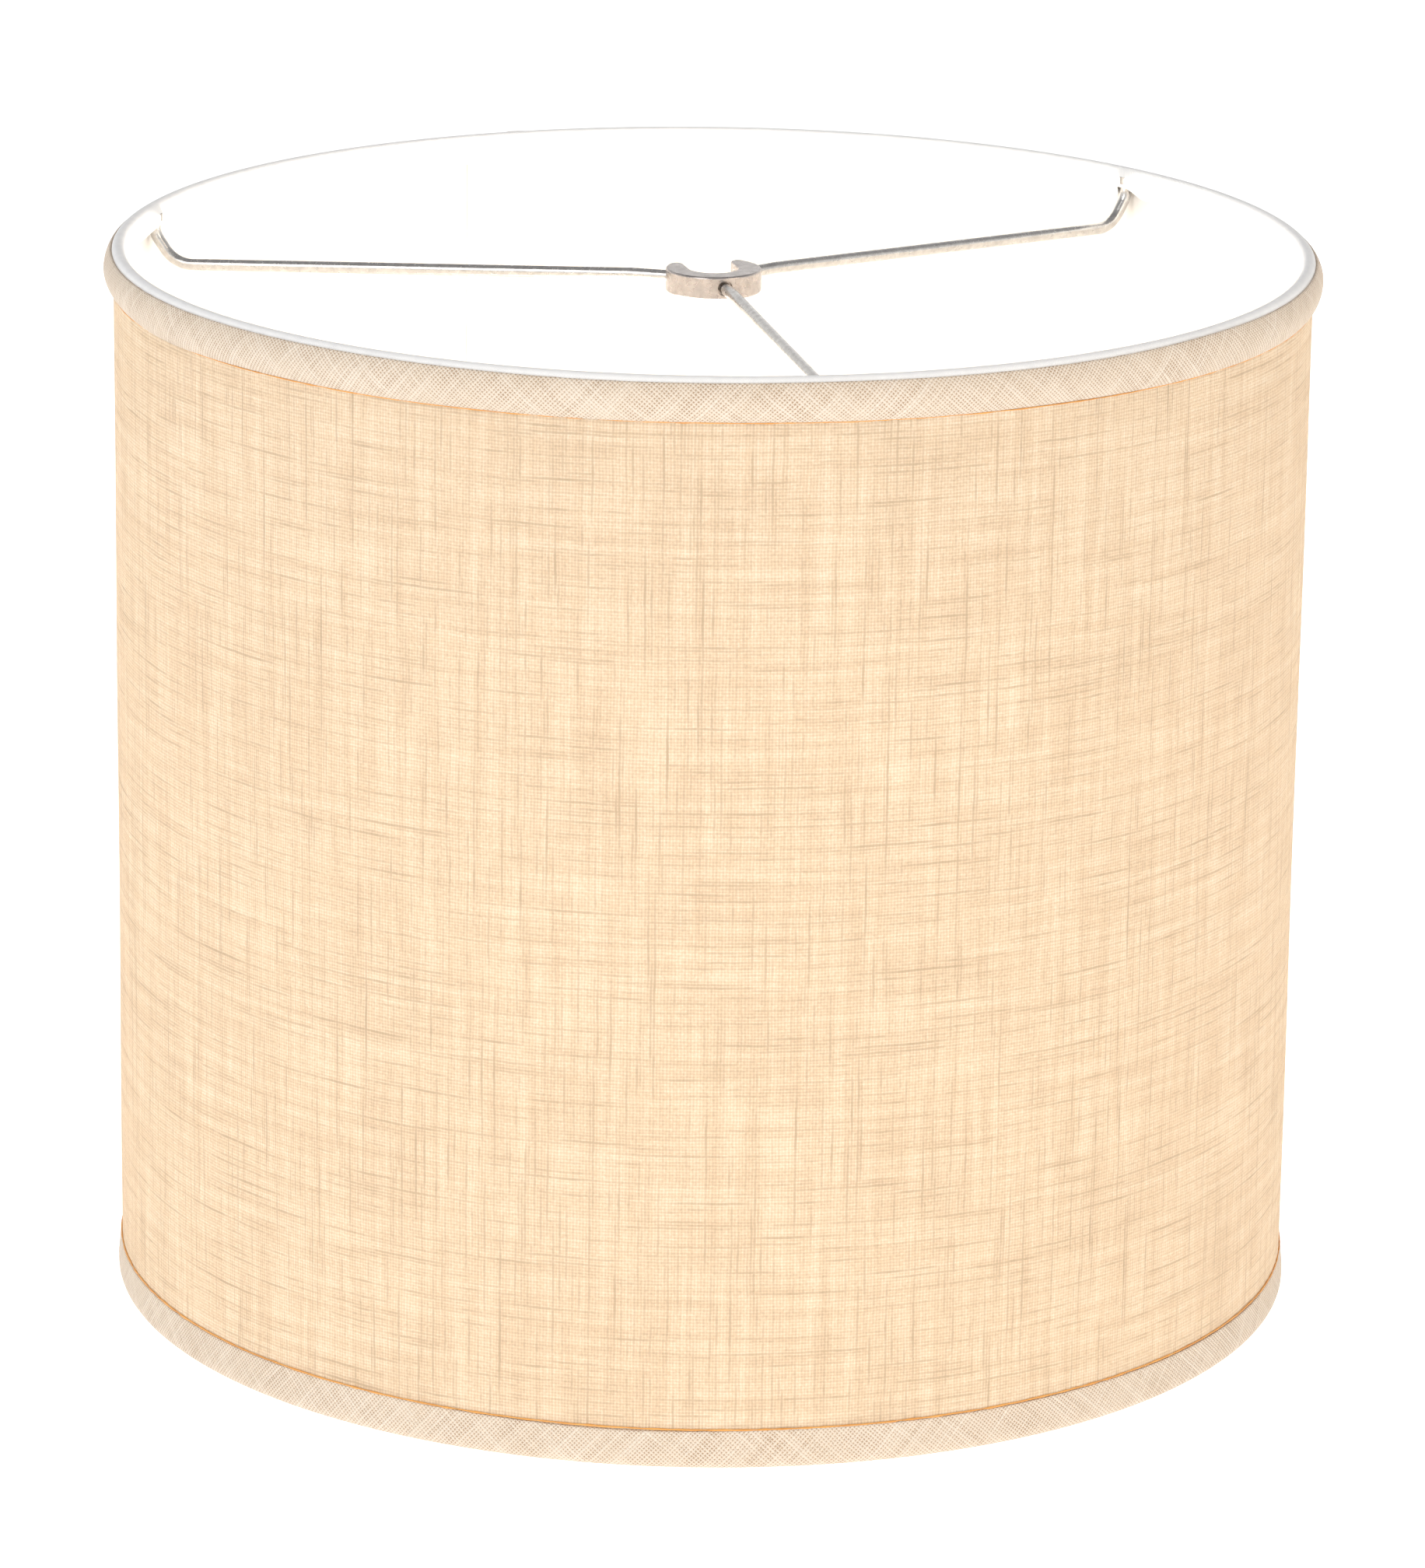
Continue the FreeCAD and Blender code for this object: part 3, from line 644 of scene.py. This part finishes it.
def top_tape(material):
    """Tape over the top ring and down the liner, standing off over each arm's foot."""
    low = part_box("top_lining_tape")[0][2]
    off_foot = RING - 1.7 * MM - ARM_WIRE - 0.35 * MM
    tent_height = 3.4 * MM
    section = Section([
        (RING + WRAP, PANEL_HIGH), *arc((RING, TOP), WRAP, 0, 180, 14),
        (RING - WRAP, TOP - WIRE - 1.0 * MM), (LINER - TAPE, low + 1.0 * MM), (LINER - TAPE, low)])

    def lay(angle, across):
        radius, level = section.at(across)
        tent = foot_tent(angle)
        if radius < RING + 0.2 * MM:
            hang = smooth_step(TOP + WRAP, TOP - 1.0 * MM, level)
            inner = min(radius, off_foot + 0.6 * MM * (1 - hang))
            radius += (inner - radius) * tent * hang
        below_ring = smooth_step(TOP + WRAP, TOP - 2 * MM, level)
        radius += unevenness(angle, level, 0.22 * MM, 5.0) * below_ring
        lift = tent_height * tent + unevenness(angle, 0, 0.35 * MM, 8.0)
        level += lift * smooth_step(TOP, low, level)
        return radius, level

    wrapped_tape("top_tape", section, lay, material, "top_lining_tape",
                 cuts_along=1440, cuts_across=28)


def bottom_tape(material):
    """Tape under the bottom ring and up the liner."""
    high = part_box("bottom_lining_tape")[1][2]
    section = Section([
        (LINER - TAPE, high), (LINER - TAPE, high - 1.0 * MM),
        (RING - WRAP, BOTTOM + WIRE + 1.0 * MM), *arc((RING, BOTTOM), WRAP, 180, 360, 14),
        (RING + WRAP, PANEL_LOW)])

    def lay(angle, across):
        radius, level = section.at(across)
        level += unevenness(angle, 0, 0.35 * MM, 11.0) * smooth_step(BOTTOM, high, level)
        return radius, level

    wrapped_tape("bottom_tape", section, lay, material, "bottom_lining_tape",
                 cuts_along=720, cuts_across=24)


# ---------------------------------------------------------------- bias trims

def over_seam(angle):
    """A trim's small rise where it crosses the lap of the linen."""
    half = SEAM_ARC / 2
    away = abs(math.remainder(angle - SEAM + half, WHOLE_TURN))
    return 0.4 * MM * (1 - smooth_step(half, half + math.radians(0.6), away))


def overlap_rise(angle):
    """The trim's last stretch lies over its own start; its end stands a little proud."""
    closing = TRIM_START + WHOLE_TURN
    lifted = smooth_step(closing - math.radians(1.0), closing + math.radians(1.0), angle)
    proud = smooth_step(closing, closing + TRIM_OVERLAP, angle)
    return lifted, proud


def rolled_trim(name, section, lay, material, node):
    """A bias strip of one section, rolled round the drum with its end over its start."""
    run = WHOLE_TURN * COVER + TRIM_OVERLAP * COVER
    bm = flat_strip(run, section.length, cuts_along=760, cuts_across=34)
    roll_round(bm, TRIM_START, COVER, lay)
    piece = finish_piece(bm, name, material, [node])
    thicken(piece, CLOTH_WALL)


def top_trim(material):
    """Folded bias strip round the outside of the top ring: turned edges and a soft bulge."""
    head = (RING + WRAP + 0.45 * MM, TRIM_HIGH - 0.1 * MM)
    foot = (COVER + 0.42 * MM, TRIM_LOW + 0.12 * MM)
    section = Section([
        (COVER + 0.08 * MM, TRIM_LOW + 2.2 * MM), (COVER + 0.08 * MM, TRIM_LOW + 0.15 * MM),
        (COVER + 0.2 * MM, TRIM_LOW), *bowed(foot, head, bulge=1.85 * MM),
        (RING + WRAP + 0.2 * MM, TRIM_HIGH), (RING + WRAP + 0.05 * MM, TRIM_HIGH - 0.15 * MM),
        (RING + WRAP + 0.05 * MM, TRIM_HIGH - 1.6 * MM)])

    def lay(angle, across):
        radius, level = section.at(across)
        lifted, proud = overlap_rise(angle)
        height = smooth_step(TRIM_LOW, TRIM_HIGH, level)
        radius += over_seam(angle) + 0.35 * MM * lifted + 0.3 * MM * proud
        level += 0.8 * MM * proud * height
        between_edges = math.sin(math.pi * min(max(height, 0), 1))
        radius += unevenness(angle, level, 0.5 * MM, 14.0) * between_edges
        level += unevenness(angle, 0, 0.5 * MM, 17.0) * (1 - height)
        level += unevenness(angle, 0, 0.3 * MM, 21.0) * height
        return radius, level

    rolled_trim("top_trim", section, lay, material, "top_bias_trim")


def bottom_trim(material):
    """Bias strip glued to the linen, wrapped under the bottom ring and up the inside."""
    top_of_return = BOTTOM + 3.5 * MM
    section = Section([
        (RING - ROLL + 0.3 * MM, top_of_return - 1.5 * MM),
        (RING - ROLL + 0.2 * MM, top_of_return), (RING - ROLL, top_of_return - 0.2 * MM),
        *arc((RING, BOTTOM), ROLL, 180, 360, 16), (RING + ROLL, PANEL_LOW + 0.3 * MM),
        (COVER + 0.75 * MM, HEM_HIGH - 3.2 * MM), (COVER + 0.42 * MM, HEM_HIGH - 0.15 * MM),
        (COVER + 0.25 * MM, HEM_HIGH), (COVER + 0.08 * MM, HEM_HIGH - 0.2 * MM),
        (COVER + 0.08 * MM, HEM_HIGH - 2.2 * MM)])

    def lay(angle, across):
        radius, level = section.at(across)
        lifted, _proud = overlap_rise(angle)
        height = smooth_step(BOTTOM, HEM_HIGH, level)
        radius += (over_seam(angle) + 0.3 * MM * lifted) * height
        level += unevenness(angle, 0, 0.6 * MM, 25.0) * height
        radius += unevenness(angle, level, 0.25 * MM, 28.0) * height
        return radius, level

    rolled_trim("bottom_trim", section, lay, material, "bottom_bias_trim")


def painted_gap_line(name, radius, level, size, material, seed):
    """A thin uneven bead along a trim's edge, all round the drum; its colour is painted light or
    shade of the gap there.
    """
    bm = bmesh.new()
    bmesh.ops.create_circle(bm, segments=6, radius=size)
    upright = Matrix.Rotation(math.pi / 2, 3, "X")
    bmesh.ops.rotate(bm, verts=bm.verts, cent=(0, 0, 0), matrix=upright)
    bmesh.ops.translate(bm, verts=bm.verts, vec=(radius, 0, level))
    bmesh.ops.spin(bm, geom=bm.verts[:] + bm.edges[:], cent=(0, 0, 0), axis=(0, 0, 1),
                   angle=WHOLE_TURN, steps=1080, use_merge=True)
    for vert in bm.verts:
        angle = math.atan2(vert.co.y, vert.co.x)
        around = Vector((math.cos(angle), math.sin(angle), 0))
        core = around * radius + Vector((0, 0, level))
        swell = 1 + 0.7 * noise.noise(around * 60 + Vector((0, 0, seed)))
        shift = around * (0.1 * MM * noise.noise(around * 40 + Vector((0, 0, seed + 3))))
        drop = Vector((0, 0, 0.12 * MM * noise.noise(around * 30 + Vector((0, 0, seed + 6)))))
        vert.co = core + (vert.co - core) * swell + shift + drop
    bmesh.ops.recalc_face_normals(bm, faces=bm.faces)
    finish_piece(bm, name, material)


# ---------------------------------------------------------------- put together

set_camera()
set_floor()
set_lights()
bpy.context.scene.view_settings.view_transform = "Standard"

linen_cover(linen_panel_material())
liner_sheet(liner_material(), cut_edge_material())
tape = tape_material()
top_tape(tape)
bottom_tape(tape)
trim = bias_trim_material()
top_trim(trim)
bottom_trim(trim)

# Orange beads at the trims' edges on the linen: painted glow of light coming through the gaps
# there.
painted_gap_glow = painted_gap_material("painted_gap_glow", light=(0.86, 0.44, 0.12), dark=(0.70, 0.30, 0.07))
painted_gap_shadow = painted_gap_material("painted_gap_shadow", light=(0.62, 0.47, 0.35), dark=(0.46, 0.32, 0.22))
painted_gap_line("top_trim_lower_painted_glow", COVER + 0.25 * MM, TRIM_LOW - 0.05 * MM,
          size=0.16 * MM, material=painted_gap_glow, seed=1.0)
painted_gap_line("bottom_trim_upper_painted_glow", COVER + 0.25 * MM, HEM_HIGH + 0.12 * MM,
          size=0.24 * MM, material=painted_gap_glow, seed=2.0)
# Brown bead along the top trim's upper edge against the taped ring: painted shadow in the gap
# between them.
painted_gap_line("top_trim_upper_painted_shadow", RING + WRAP + 0.02 * MM, TRIM_HIGH - 0.35 * MM,
          size=0.10 * MM, material=painted_gap_shadow, seed=3.0)

wire_metal = metal_material("arm_wire", (0.64, 0.62, 0.59), (0.50, 0.48, 0.46), rough=0.24)
# The hub's warm, pinkish tint is painted reflection of the warm walls around it; its cloudiness
# and grain are the metal's own.
hub_metal = metal_material("hub_metal", (0.54, 0.49, 0.46), (0.42, 0.38, 0.36), rough=0.30,
                           grain=350.0)
weld_metal = metal_material("weld_metal", (0.50, 0.48, 0.45), (0.34, 0.32, 0.30), rough=0.45)
ring_metal = metal_material("ring_wire", (0.60, 0.60, 0.60), (0.46, 0.46, 0.46), rough=0.35)
METAL_OF_NODE = {
    "spider_hub": hub_metal, "spider_arm_front": wire_metal, "spider_arm_left": wire_metal,
    "spider_arm_right": wire_metal, "arm_weld_beads": weld_metal,
    "top_ring": ring_metal, "bottom_ring": ring_metal}
for node, metal in METAL_OF_NODE.items():
    for material_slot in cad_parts[node].material_slots:
        material_slot.material = metal
